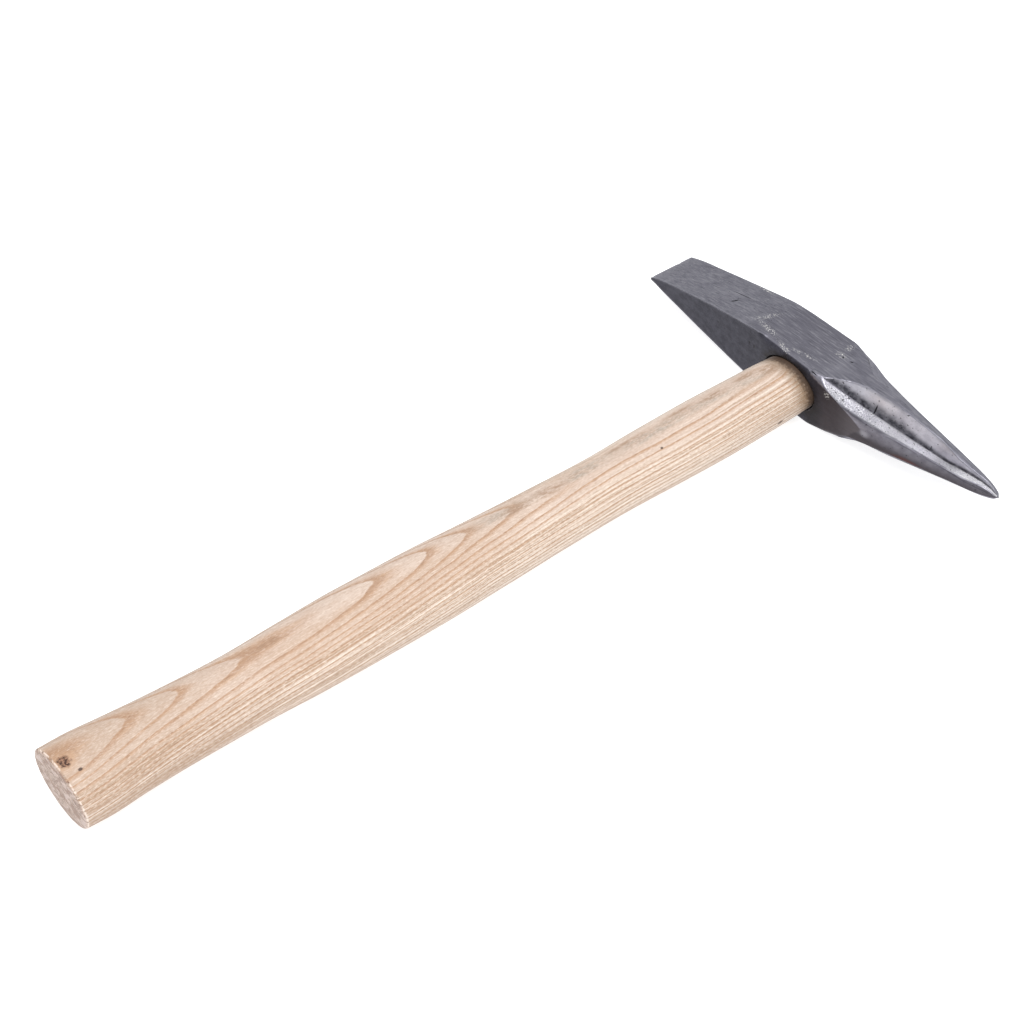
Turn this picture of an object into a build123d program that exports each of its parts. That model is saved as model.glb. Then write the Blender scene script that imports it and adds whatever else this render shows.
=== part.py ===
from build123d import *
import math
import os

# Chipping hammer with a flat chisel end, a fluted point and a straight ash handle.
# Millimetres. The hammer lies on one cheek:
#   +X runs along the head from the chisel edge to the point,
#   +Y runs along the handle from the butt to the head,
#   +Z is up, square to the cheeks, with z = 0 on the lower cheek.
# The origin is on the lower cheek, straight under the middle of the eye.

# Head, measured from the middle of the eye
EDGE_X = -77.4            # cutting edge of the chisel end
TIP_X = 88.0              # end of the point
HALF_THICK = 11.4         # half the distance between the two cheeks
AXIS_Z = HALF_THICK       # height of the head's and the handle's axes
EDGE_HALF_THICK = 0.55    # half the blunt width of the cutting edge
BODY_START_X = -12.0      # where the chisel flanks meet the flat cheeks
CORNER_ROUND = 0.4        # rounding along the long corners of the body
TIP_ROUND = 0.55          # rounding of the very end of the point

# Half thickness of the chisel end at places along it: (x, half thickness)
CHISEL_FLANK = [(EDGE_X, EDGE_HALF_THICK), (-69.7, 2.75), (-60.6, 4.6), (-38.6, 8.6), (-22.0, 11.0)]

# Plan outline of the head: the upper side faces away from the handle
FAR_SIDE = [(EDGE_X, 10.3), (-50.0, 10.6), (-22.0, 11.55), (8.0, 11.4), (TIP_X, 11.0)]
HANDLE_SIDE = [(EDGE_X, -9.8), (-50.0, -10.35), (-22.0, -11.5), (2.0, -12.9), (16.0, -13.3)]

# Round taper of the point: (x, y of its centre, radius)
POINT_TAPER = [
    (0.0, -0.6, 19.0),
    (13.0, -1.0, 15.7),
    (33.0, -1.3, 12.45),
    (45.0, -1.1, 10.65),
    (61.0, -0.5, 7.85),
    (77.0, -0.1, 4.75),
    (83.0, 0.0, 3.15),
    (TIP_X, 0.0, 0.9),
]

# Flutes: V channels along the four corners of the point.
# Each valley is (distance from the start of the flute along X, distance from the axis).
FLUTE_RUN_OUT = [(-1.5, 20.0), (0.0, 16.9), (8.0, 10.9), (19.0, 6.9), (38.0, 4.3)]
FLUTE_OUTER = 26.0        # the cutter reaches this far from the axis
FLUTE_WALL = 110.0        # angle between the two walls of a flute
# Corner of the section that a flute cuts: (angle from +Y towards +Z, x where it starts)
FLUTES = [(45.0, 13.0), (133.0, 12.0), (225.0, 19.5), (315.0, 14.0)]
FLUTE_AXIS_Y = -1.3       # the flutes aim from this offset, at the point's root, to the tip
FLUTE_AXIS_X = 33.0

# Eye, an oval hole through the head: (y, x of its middle, half length along X, half width along Z)
EYE_SECTIONS = [(-14.0, 0.0, 12.7, 8.7), (-1.0, 0.0, 12.3, 8.4), (13.0, 0.0, 13.0, 9.2)]
EYE_LEAD_IN = 0.7         # chamfer on both mouths of the eye

# Handle, very slightly bent: (y, x of its middle, half width along X, half thickness along Z)
BUTT_Y = -309.7
HANDLE_SECTIONS = [
    (BUTT_Y, 0.25, 15.5, 11.1),
    (-301.0, 0.33, 15.7, 11.35),
    (-288.0, 0.35, 14.75, 11.05),
    (-272.0, 0.55, 13.95, 10.65),
    (-248.0, 0.9, 13.55, 10.4),
    (-226.0, 0.85, 14.25, 10.95),
    (-204.0, 0.6, 14.7, 11.3),
    (-180.0, 0.6, 14.65, 11.2),
    (-152.0, 0.65, 13.75, 10.6),
    (-125.0, 0.5, 12.95, 9.9),
    (-100.0, 0.43, 12.4, 9.55),
    (-76.0, 0.27, 13.05, 10.0),
    (-52.0, 0.3, 13.4, 10.35),
    (-34.0, 0.2, 13.15, 10.15),
    (-21.0, 0.05, 12.95, 9.8),
    (-14.0, 0.0, 12.7, 8.7),
]
BUTT_ROUND = 1.0          # rounding of the butt's rim
TENON_END_Y = 11.9        # the tenon stands just proud of the head

# Wooden wedge, driven along the eye's length into a saw cut in the tenon
WEDGE_DEPTH = 17.0
WEDGE_TOP = 3.4           # thickness at the top of the head
WEDGE_FOOT = 0.9          # thickness at its thin end

# Steel wedge, driven across the wooden one
PIN_DEPTH = 12.5
PIN_TOP = 2.6
PIN_FOOT = 0.5
PIN_WIDTH = 12.0
PIN_TURN = 62.0           # angle between the steel wedge and the head's length

os.makedirs("parts", exist_ok=True)


def section_plane(y, x=0.0):
    """A plane across the handle: local X is along the head, local Y is up."""
    return Plane(origin=(x, y, AXIS_Z), x_dir=(1, 0, 0), z_dir=(0, -1, 0))


def cross_plane(x, y):
    """A plane across the point: local X is along the handle, local Y is up."""
    return Plane(origin=(x, y, AXIS_Z), x_dir=(0, 1, 0), z_dir=(1, 0, 0))


def oval_loft(sections):
    """A smooth solid through ovals that stand square to the handle."""
    with BuildPart() as oval:
        for y, x, half_x, half_z in sections:
            with BuildSketch(section_plane(y, x)):
                Ellipse(half_x, half_z)
        loft()
    return oval.part


def is_eye_mouth(edge):
    """The oval edges where the eye opens on the head's two sides."""
    box = edge.bounding_box()
    return abs(box.center().X) < 2 and 15 < box.size.X < 2 * EYE_SECTIONS[-1][2] + 2 and box.size.Z > 10


def flute_cutter(turn, start_x):
    """The V channel of one corner: a valley profile, sheared out to both sides."""
    aim = Vector(TIP_X - FLUTE_AXIS_X, -FLUTE_AXIS_Y, 0).normalized()
    outward = Vector(0, 1, 0).rotate(Axis.X, turn)
    outward = (outward - aim * outward.dot(aim)).normalized()
    across = aim.cross(outward)
    valley_plane = Plane(origin=(TIP_X, 0, AXIS_Z), x_dir=aim, z_dir=across)
    rise = 1 / math.tan(math.radians(FLUTE_WALL / 2))
    valley = [(start_x + run - TIP_X, radius) for run, radius in FLUTE_RUN_OUT]
    with BuildPart() as cutter:
        with BuildSketch(valley_plane) as profile:
            with BuildLine():
                Spline(*valley)
                Polyline(valley[-1], (0.5, 0), (0.5, FLUTE_OUTER), (valley[0][0], FLUTE_OUTER), valley[0])
            make_face()
        for side in (1, -1):
            extrude(profile.sketch, amount=2 * FLUTE_OUTER, dir=(across * side + outward * rise).normalized())
    return cutter.part


# ---------------------------------------------------------------- eye shape
eye_shape = oval_loft(EYE_SECTIONS)

# ---------------------------------------------------------------- wedges' shapes
with BuildPart() as wedge_blank:
    with BuildSketch(Plane.YZ.offset(-20)):
        foot_y = TENON_END_Y - WEDGE_DEPTH
        Polygon(
            (foot_y, AXIS_Z - WEDGE_FOOT / 2),
            (TENON_END_Y, AXIS_Z - WEDGE_TOP / 2),
            (TENON_END_Y, AXIS_Z + WEDGE_TOP / 2),
            (foot_y, AXIS_Z + WEDGE_FOOT / 2),
            align=None,
        )
    extrude(amount=40)

pin_line = Vector(1, 0, 0).rotate(Axis.Y, PIN_TURN)
pin_plane = Plane(origin=(0, TENON_END_Y, AXIS_Z), x_dir=pin_line, z_dir=(0, 1, 0))
with BuildPart() as pin_blank:
    with BuildSketch(pin_plane):
        Rectangle(PIN_WIDTH, PIN_TOP)
    with BuildSketch(pin_plane.offset(-PIN_DEPTH)):
        Rectangle(PIN_WIDTH, PIN_FOOT)
    loft(ruled=True)

# ---------------------------------------------------------------- head
with BuildPart() as point_envelope:
    for x, y, radius in POINT_TAPER:
        with BuildSketch(cross_plane(x, y)):
            Circle(radius)
    loft()
    fillet(point_envelope.edges().sort_by(Axis.X)[-1], TIP_ROUND)
    with BuildSketch(cross_plane(EDGE_X - 1, 0)):
        Rectangle(60, 60)
    extrude(amount=-EDGE_X + 1.5)

with BuildPart() as head:
    with BuildSketch(Plane.XZ.offset(-20)):
        with BuildLine():
            upper_flank = [(x, AXIS_Z + half) for x, half in CHISEL_FLANK]
            lower_flank = [(x, AXIS_Z - half) for x, half in CHISEL_FLANK]
            Spline(*upper_flank, (BODY_START_X, 2 * AXIS_Z), tangents=[(1, 0.33), (1, 0)])
            Polyline((BODY_START_X, 2 * AXIS_Z), (TIP_X + 1, 2 * AXIS_Z), (TIP_X + 1, 0), (BODY_START_X, 0))
            Spline(*lower_flank, (BODY_START_X, 0), tangents=[(1, -0.33), (1, 0)])
            Line(upper_flank[0], lower_flank[0])
        make_face()
    extrude(amount=40)
    with BuildSketch(Plane.XY.offset(-5)):
        with BuildLine():
            Spline(*FAR_SIDE)
            Spline(*HANDLE_SIDE)
            Line(FAR_SIDE[0], HANDLE_SIDE[0])
            Polyline(FAR_SIDE[-1], (TIP_X, HANDLE_SIDE[-1][1]), HANDLE_SIDE[-1])
        make_face()
    extrude(amount=35, mode=Mode.INTERSECT)
    long_corners = head.edges().filter_by(lambda edge: edge.bounding_box().size.X > 10)
    fillet(long_corners, CORNER_ROUND)
    add(point_envelope.part, mode=Mode.INTERSECT)
    for turn, start_x in FLUTES:
        add(flute_cutter(turn, start_x), mode=Mode.SUBTRACT)
    add(eye_shape, mode=Mode.SUBTRACT)
    mouths = head.edges().filter_by(is_eye_mouth)
    chamfer(mouths, EYE_LEAD_IN)
head.part.label = "head"
export_step(head.part, "parts/head.step")

# ---------------------------------------------------------------- handle
handle_body = oval_loft(HANDLE_SECTIONS)
with BuildPart() as handle:
    add(handle_body)
    fillet(handle.edges().sort_by(Axis.Y)[0], BUTT_ROUND)
    add(eye_shape)
    with BuildSketch(section_plane(TENON_END_Y)):
        Rectangle(60, 60)
    extrude(amount=-20, mode=Mode.SUBTRACT)
    add(wedge_blank.part, mode=Mode.SUBTRACT)
    add(pin_blank.part, mode=Mode.SUBTRACT)
handle.part.label = "handle"
export_step(handle.part, "parts/handle.step")

# ---------------------------------------------------------------- wedges
with BuildPart() as wood_wedge:
    add(wedge_blank.part)
    add(eye_shape, mode=Mode.INTERSECT)
    add(pin_blank.part, mode=Mode.SUBTRACT)
wood_wedge.part.label = "wood_wedge"
export_step(wood_wedge.part, "parts/wood_wedge.step")

with BuildPart() as steel_wedge:
    add(pin_blank.part)
steel_wedge.part.label = "steel_wedge"
export_step(steel_wedge.part, "parts/steel_wedge.step")
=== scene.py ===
import math

import bmesh
import bpy
import numpy as np
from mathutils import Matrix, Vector, noise


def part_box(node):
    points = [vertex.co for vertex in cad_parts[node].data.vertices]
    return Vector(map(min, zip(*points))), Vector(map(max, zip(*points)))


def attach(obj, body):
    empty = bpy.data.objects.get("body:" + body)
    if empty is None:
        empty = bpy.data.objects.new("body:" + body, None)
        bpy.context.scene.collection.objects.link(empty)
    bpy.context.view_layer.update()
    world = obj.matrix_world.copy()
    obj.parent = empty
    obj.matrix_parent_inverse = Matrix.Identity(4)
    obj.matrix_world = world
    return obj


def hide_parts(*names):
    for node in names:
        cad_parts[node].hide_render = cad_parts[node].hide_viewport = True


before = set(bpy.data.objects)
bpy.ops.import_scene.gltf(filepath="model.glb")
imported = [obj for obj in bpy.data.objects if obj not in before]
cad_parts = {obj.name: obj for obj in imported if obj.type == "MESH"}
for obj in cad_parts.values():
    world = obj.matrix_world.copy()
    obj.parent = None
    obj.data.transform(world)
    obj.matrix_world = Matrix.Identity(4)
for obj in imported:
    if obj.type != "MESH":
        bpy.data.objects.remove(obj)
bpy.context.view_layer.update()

# A chipping hammer: forged head with a chisel end and a fluted point, ash handle, wooden
# wedge and steel wedge. Shapes are worked out in millimetres, in the CAD frame, and turned
# into metres when the mesh is made.
MM = 0.001


# -------------------- numbers
def box_mm(node):
    """Lowest and highest corner of a CAD node, in millimetres."""
    low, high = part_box(node)
    return np.array(low) / MM, np.array(high) / MM


HEAD_LOW, HEAD_HIGH = box_mm("head")
HANDLE_LOW, HANDLE_HIGH = box_mm("handle")
EDGE_X = HEAD_LOW[0]            # cutting edge
TIP_X = HEAD_HIGH[0]            # end of the point
AXIS_Z = (HEAD_LOW[2] + HEAD_HIGH[2]) / 2
HALF_THICK = AXIS_Z - 0.04      # leaves room for the cheeks' unevenness
BUTT_Y = HANDLE_LOW[1]
TENON_END_Y = HANDLE_HIGH[1]

# Head's cross-section along X, as (x, size): half thickness, reach away from the handle and
# towards it, then the point's radius and the middle of its section
CHEEK = [(EDGE_X, 0.55), (-75.5, 1.2), (-69.7, 2.8), (-60.6, 4.6), (-49.5, 6.75), (-38.6, 8.6),
         (-27.9, 10.25), (-20, 11.15), (-12, HALF_THICK), (TIP_X, HALF_THICK)]
FAR_SIDE = [(EDGE_X, 10.1), (-77, 10.3), (-75, 10.35), (-50, 10.6), (-36, 11),
            (-22, 11.55), (-11, 11.56), (6, 11.4), (TIP_X, 11)]
HANDLE_SIDE = [(EDGE_X, 10.25), (-76.6, 10.05), (-74.5, 9.85), (-50, 10.35), (-36, 10.85),
               (-22, 11.4), (-12, 12.1), (0, 12.78), (12, 13.17), (TIP_X, 13.23)]
CONE_RADIUS = [(0, 19), (8, 16.9), (13, 15.65), (17, 14.9), (21, 14.3), (27, 13.35), (33, 12.45),
               (39, 11.53), (45, 10.63), (61, 7.85), (77, 4.8), (82, 3.5), (85, 2.4), (87, 1.35),
               (TIP_X, 0)]
CONE_CENTRE_Y = [(0, -0.6), (13, -1), (25, -1.3), (33, -1.3), (45, -1.1), (61, -0.5),
                 (73, -0.15), (TIP_X, 0)]

# Flutes on the point's four corners: angle from +Y towards +Z, and the x where each starts
FLUTES = [(46, 13), (132.5, 12), (226, 19.5), (315, 14)]
FLUTE_VALLEY = [(10.5, 18.5), (12, 16.4), (16.5, 13.3), (20, 10.9), (24, 8.7), (31, 6.9),
                (38, 5.8), (50, 4.3), (70, 2.15), (84, 0.9), (TIP_X, 0)]
VALLEY_START_X = 12             # the start that the valley's measures belong to
VALLEY_COMMON_X = 52            # beyond this all four valleys run alike
FLUTE_WALL_SLOPE = math.tan(math.radians(35))
VALLEY_ROUND = 0.1
FAR_OUT = 60                    # stands for a flute's wall where it isn't met
# The flute that shows most was ground unevenly: slope of its two walls along X, and its
# valley swings up towards the cheek near the tip
SHOWN_FLUTE = 132.5
SHOWN_SWING = [(12, 0), (58, 0), (62, 1), (66, 3), (72, 11.5), (78, 20), (82, 27), (TIP_X, 34)]
WALL_TO_SIDE = [(12, 0.7), (18, 0.8), (22, 1.03), (27, 1.1), (38, 1.25), (44, 1.32), (52, 1.5),
                (61, 1.52), (66, 1.35), (71, 0.75), (77, 0.4), (TIP_X, 0.5)]
WALL_TO_CHEEK = [(12, 1.2), (15, 1.15), (18, 0.62), (21, 0.5), (29, 0.4), (38, 0.54), (60, 0.57),
                 (66, 0.85), (72, 1.6), (TIP_X, 1.8)]
# Near the tip its valley is shallower than the others, by this much
SHOWN_FILL = [(12, 0), (60, 0), (66, 0.35), (72, 1.2), (78, 1.45), (84, 0.95), (TIP_X, 0)]
# Dark scale and painted shade in its valley: width in degrees on the cheek's side and on the other,
# and the most that the other valleys have
VALLEY_BAND = [(12, 13), (24, 20), (32, 27), (36, 32), (45, 36), (50, 30), (60, 25), (66, 17),
               (72, 12), (TIP_X, 9)]
VALLEY_BAND_BELOW = [(12, 2), (60, 2), (66, 7), (TIP_X, 8)]
HIDDEN_BAND = 13
# Angle of that flute's lower rim along X
RIM_TO_SIDE = [(12, 138), (18, 143.5), (22, 147), (27, 151.5), (38, 153), (66, 153), (77, 157),
               (81, 154), (TIP_X, 146)]

# Eye: (y, half length along X, half width along Z)
EYE = [(-14, 12.7, 8.7), (-1, 12.3, 8.4), (13, 13, 9.2)]
EYE_GAP = 0.3                   # between the eye and the tenon
BORE_HALF_X, BORE_HALF_Z = 12.9, 9

# Handle, very slightly bent: (y, x of its middle, half width along X, half thickness along Z)
HANDLE = [(BUTT_Y, 0.25, 15.5, 11.1), (-301, 0.33, 15.7, 11.3), (-288, 0.35, 14.75, 11.05),
          (-272, 0.55, 13.95, 10.65), (-248, 0.9, 13.55, 10.4), (-226, 0.85, 14.25, 10.95),
          (-204, 0.6, 14.7, 11.3), (-180, 0.6, 14.65, 11.2), (-152, 0.65, 13.75, 10.6),
          (-125, 0.5, 12.95, 9.9), (-100, 0.43, 12.4, 9.55), (-76, 0.27, 13.05, 10),
          (-52, 0.3, 13.4, 10.35), (-34, 0.2, 13.15, 10.15), (-21, 0.05, 12.9, 9.8),
          (-14.5, 0, 12.75, 8.95), (-12, 0, 12.6, 8.65), (-1, 0, 12.3, 8.4),
          (TENON_END_Y, 0, 12.9, 9.1)]
BUTT_ROUND = 0.95

# Wedges, driven into the tenon's end: half thickness there and at the foot, depth, half
# width and turn about Y
WOOD_WEDGE = {"top": 1.7, "foot": 0.45, "depth": 17, "half_width": 12.9, "turn": 0}
STEEL_WEDGE = {"top": 1.3, "foot": 0.25, "depth": 12.5, "half_width": 6, "turn": 62}
WOOD_SLOT = {**WOOD_WEDGE, "half_width": 14}
SLOT_GAP = 0.05                 # room round a wedge in its slot
SLOT_PAST_END = 0.6             # how far a slot's cutter reaches past the tenon's end
WEDGE_ROOM = 0.02               # between the wooden wedge and the eye


# -------------------- curves
def smooth_curve(points, x):
    """Monotone cubic through the points, read at x."""
    xs = np.array([p[0] for p in points], float)
    ys = np.array([p[1] for p in points], float)
    step = np.diff(xs)
    rise = np.diff(ys) / step
    slope = np.zeros_like(ys)
    slope[0], slope[-1] = rise[0], rise[-1]
    for i in range(1, len(xs) - 1):
        if rise[i - 1] * rise[i] > 0:
            before = 2 * step[i] + step[i - 1]
            after = step[i] + 2 * step[i - 1]
            slope[i] = (before + after) / (before / rise[i - 1] + after / rise[i])
    x = np.clip(x, xs[0], xs[-1])
    i = np.clip(np.searchsorted(xs, x) - 1, 0, len(xs) - 2)
    t = (x - xs[i]) / step[i]
    start = (1 + 2 * t) * (1 - t) ** 2 * ys[i] + t * (1 - t) ** 2 * step[i] * slope[i]
    end = t * t * (3 - 2 * t) * ys[i + 1] + t * t * (t - 1) * step[i] * slope[i + 1]
    return start + end


def column(table, place):
    """The first numbers of a table's rows, each with the one at the given place."""
    return [(row[0], row[place]) for row in table]


def soft_min(a, b, reach):
    """The smaller of the two, blended where they differ by less than reach."""
    h = np.clip(0.5 + 0.5 * (b - a) / reach, 0, 1)
    return b * (1 - h) + a * h - reach * h * (1 - h)


def smooth_step(x, low, high):
    t = np.clip((x - low) / (high - low), 0, 1)
    return t * t * (3 - 2 * t)


def window(x, rise, full, still, fall):
    """Rises to 1 between the first two numbers and falls to 0 between the last two."""
    return smooth_step(x, rise, full) * (1 - smooth_step(x, still, fall))


def noise_at(points, wavelength, seed):
    """Gradient noise, about -1 to 1, at points in millimetres. wavelength may differ by axis."""
    scaled = points / np.broadcast_to(np.array(wavelength, float), (3,)) + seed * 17.3
    return np.array([noise.noise(Vector(p)) for p in scaled.tolist()])


# -------------------- mesh tools
def grid_normals(grid):
    """Outward normals of a grid of rings: axis 0 runs along, axis 1 goes round."""
    along = np.gradient(grid, axis=0)
    around = np.roll(grid, -1, axis=1) - np.roll(grid, 1, axis=1)
    normal = np.cross(around, along)
    length = np.linalg.norm(normal, axis=2, keepdims=True)
    return normal / np.maximum(length, 1e-9)


def ring_faces(rows, columns):
    """Quads between neighbouring rings."""
    faces = []
    for r in range(rows - 1):
        for c in range(columns):
            d = (c + 1) % columns
            low, high = r * columns, (r + 1) * columns
            faces.append((low + c, low + d, high + d, high + c))
    return faces


def make_object(name, points_mm, faces):
    mesh = bpy.data.meshes.new(name)
    mesh.from_pydata((np.asarray(points_mm) * MM).tolist(), [], faces)
    mesh.validate()
    mesh.update()
    piece = bpy.data.objects.new(name, mesh)
    bpy.context.scene.collection.objects.link(piece)
    return piece


def outward(piece):
    """Turns the faces outwards, whatever the order that they were made in."""
    work = bmesh.new()
    work.from_mesh(piece.data)
    bmesh.ops.recalc_face_normals(work, faces=work.faces)
    work.to_mesh(piece.data)
    work.free()


def points_of(piece):
    """Vertices in millimetres and their normals."""
    count = len(piece.data.vertices)
    co = np.empty(count * 3)
    piece.data.vertices.foreach_get("co", co)
    normal = np.empty(count * 3)
    piece.data.vertices.foreach_get("normal", normal)
    return co.reshape(-1, 3) / MM, normal.reshape(-1, 3)


def move_points(piece, points_mm):
    piece.data.vertices.foreach_set("co", (points_mm * MM).ravel())
    piece.data.update()


def paint(piece, name, values):
    """Stores one number per vertex, for the material to read."""
    layer = piece.data.attributes.new(name, "FLOAT", "POINT")
    layer.data.foreach_set("value", np.asarray(values, np.float32))


def cut(piece, cutter):
    """Subtracts the cutter from the piece."""
    modifier = piece.modifiers.new("cut", "BOOLEAN")
    modifier.operation = "DIFFERENCE"
    modifier.solver = "EXACT"
    modifier.object = cutter
    graph = bpy.context.evaluated_depsgraph_get()
    result = bpy.data.meshes.new_from_object(piece.evaluated_get(graph))
    piece.modifiers.clear()
    old = piece.data
    piece.data = result
    bpy.data.meshes.remove(old)


def shade(piece, angle_deg):
    """Smooth shading with sharp edges above the angle."""
    piece.data.shade_smooth()
    piece.data.set_sharp_from_angle(angle=math.radians(angle_deg))


def remove(*pieces):
    for piece in pieces:
        bpy.data.objects.remove(piece)


# -------------------- head
FACE_STEPS = 20                 # between the middle of a face and its corner
CORNER_STEPS = 10               # from the edge of a flute to its valley
EDGE_ROUND = 0.4                # how far along X the cutting edge is rounded
SHARPNESS, ROLLED = 110, 10     # exponents of the body's sharp and rolled corners


def body_sizes(x, angle):
    """The section's centre, and its half sizes along Y, on the angle's side, and along Z."""
    centre = smooth_curve(CONE_CENTRE_Y, x)
    half_y = np.where(np.cos(angle) > 0, smooth_curve(FAR_SIDE, x) - centre,
                      smooth_curve(HANDLE_SIDE, x) + centre)
    return centre, half_y, smooth_curve(CHEEK, x)


def envelope_radius(x, angle):
    """Distance from the section's centre to the body or the cone, whichever is nearer."""
    cos, sin = np.cos(angle), np.sin(angle)
    _, half_y, half_z = body_sizes(x, angle)
    rolled = window(x, -24, -14, 9, 14) * (cos < 0) * (sin > 0)
    power = SHARPNESS - (SHARPNESS - ROLLED) * rolled
    to_y = np.abs(cos) / half_y
    to_z = np.abs(sin) / half_z
    big = np.maximum(to_y, to_z)
    body = 1 / (big * ((to_y / big) ** power + (to_z / big) ** power) ** (1 / power))
    cone = smooth_curve(CONE_RADIUS, x)
    below = smooth_step(-sin, -0.35, 0.25) * smooth_step(-cos, 0, 0.3)
    fuller = 0.6 * window(x, 2, 8, 17, 25) + 0.27 * window(x, 20, 28, 78, 84)
    return np.where(x > 0, soft_min(body, cone + fuller * below, 0.5), body)


def flute_centre(x, centre_deg):
    """Direction of a flute's valley."""
    swing = smooth_curve(SHOWN_SWING, x) * (centre_deg == SHOWN_FLUTE)
    return np.radians(centre_deg - swing)


def flute_radius(x, angle, centre_deg, start_x):
    """Distance from the section's centre to one flute's walls."""
    shift = (start_x - VALLEY_START_X) * (1 - smooth_step(x, start_x, VALLEY_COMMON_X))
    valley = smooth_curve(FLUTE_VALLEY, x - shift)
    turn = (angle - flute_centre(x, centre_deg) + np.pi) % (2 * np.pi) - np.pi
    side = np.sqrt(np.sin(turn) ** 2 + VALLEY_ROUND ** 2) - VALLEY_ROUND * 0.4
    slope = FLUTE_WALL_SLOPE
    if centre_deg == SHOWN_FLUTE:
        valley = valley + smooth_curve(SHOWN_FILL, x)
        slope = np.where(turn > 0, smooth_curve(WALL_TO_SIDE, x), smooth_curve(WALL_TO_CHEEK, x))
    open_to = np.cos(turn) - side * slope
    reaches = (np.abs(turn) < np.pi / 2) & (open_to > 1e-3) & (x > start_x - 1.5)
    return np.where(reaches, valley / np.maximum(open_to, 1e-3), FAR_OUT), turn


def head_radius(x, angle):
    """Radius of the finished section, and how deep each point lies in a flute."""
    outer = envelope_radius(x, angle)
    radius = outer
    for centre, start in FLUTES:
        wall, turn = flute_radius(x, angle, centre, start)
        blend = 0.3 + 1.2 * smooth_step(x, 50, 68) * (centre == SHOWN_FLUTE) * (turn < 0)
        radius = soft_min(radius, wall, blend)
    return radius, np.maximum(outer - radius, 0)


def flute_reach(x, centre_deg, start_x, way):
    """Angle from a flute's valley to its edge, at each x; way is 1 or -1."""
    trial = np.radians(np.arange(0, 44, 0.5))[None, :]
    angle = flute_centre(x, centre_deg)[:, None] + trial * way
    wall, _ = flute_radius(x[:, None], angle, centre_deg, start_x)
    inside = wall < envelope_radius(x[:, None], angle)
    width = np.degrees(trial[0][np.maximum(inside.sum(axis=1) - 1, 0)])
    width = np.clip(width, 5, 38)
    kernel = np.hanning(11)
    padded = np.pad(width, 5, mode="edge")
    return np.convolve(padded, kernel / kernel.sum(), mode="valid")


def head_angles(x):
    """Angles of the grid's columns at each x: they follow the flutes' edges and valleys."""
    columns = []
    for k, (centre, start) in enumerate(FLUTES):
        fade = smooth_step(x, start - 6, start + 6)
        middle = (45 + 90 * k) * (1 - fade) + np.degrees(flute_centre(x, centre)) * fade
        first, last = 90 * k, 90 * (k + 1)
        before = np.minimum(flute_reach(x, centre, start, -1), middle - first - 3)
        after = np.minimum(flute_reach(x, centre, start, 1), last - middle - 3)
        ease = np.linspace(0, 1, FACE_STEPS, endpoint=False)
        for t in ease:
            columns.append(first + (middle - before - first) * t)
        for t in np.linspace(-1, 1, 2 * CORNER_STEPS, endpoint=False):
            columns.append(middle + t * (after if t > 0 else before))
        for t in ease:
            columns.append(middle + after + (last - middle - after) * t)
    return np.radians(np.array(columns).T)


def head_stations():
    """Places along X, closer together at the cutting edge, the flutes' starts and the tip."""
    nose = EDGE_X + np.array([0, 0.05, 0.14, 0.3])
    blade = np.arange(EDGE_X + 0.6, 8, 0.55)
    root = np.arange(8, 30, 0.33)
    point = np.arange(30, TIP_X - 3, 0.5)
    tip = TIP_X - 3 * (1 - np.linspace(0, 0.985, 12)) ** 1.6
    return np.concatenate([nose, blade, root, point, tip])


# Places knocked in or worn away: (x, y, z from the axis, length, width, depth) in millimetres
DENTS = [
    (-39.2, -2.6, 8, 1.6, 0.45, 0.28), (-16.7, -11.6, 10.9, 1.5, 0.7, 0.35),
    (-27, 5, 10, 5, 3, 0.08), (-58, -4, 4.3, 6, 2.5, 0.06),
    (14.8, 2.3, 11.4, 1.3, 0.8, 0.16), (11.5, 4.5, 11.4, 2.2, 1.6, 0.07),
    (-39.6, -11, 2.5, 1.2, 0.8, 0.15), (-22.2, -11.6, 4.1, 0.9, 0.7, 0.15),
    (-76.9, -9.6, 0.3, 1, 0.9, 0.25), (-77.2, 4, 0.4, 0.8, 0.9, 0.18),
    (36.4, -3.4, 10.9, 0.6, 0.5, 0.2), (45.4, -3.6, 8.3, 0.7, 0.6, 0.25),
    (61, -1.8, 7.1, 0.6, 0.5, 0.2), (-50, 11.1, -1, 4, 1.5, 0.1),
    (2, -6, -11.4, 5, 2, 0.09), (-30, 3, -9.6, 2, 0.8, 0.2),
]


def dent_depth(points):
    """How far each point is pressed in by the list of dents."""
    total = np.zeros(len(points))
    for x, y, z, length, width, depth in DENTS:
        offset = points - np.array([x, y, z + AXIS_Z])
        spread = (offset[:, 0] / length) ** 2 + (offset[:, 1:] ** 2).sum(axis=1) / width ** 2
        total += depth * np.exp(-spread * 1.5)
    return total


def head_unevenness(points, normals):
    """Slight waves left by forging and grinding: more on the sides than on the cheeks."""
    forged = np.abs(normals[:, 1]) ** 2
    long_waves = noise_at(points, (19, 15, 15), 1) * (0.035 + 0.06 * forged)
    short_waves = noise_at(points, (4.2, 3.2, 3.2), 2) * (0.012 + 0.028 * forged)
    grain = noise_at(points, (1.3, 1.1, 1.1), 3) * (0.005 + 0.012 * forged)
    return long_waves + short_waves + grain


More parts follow.
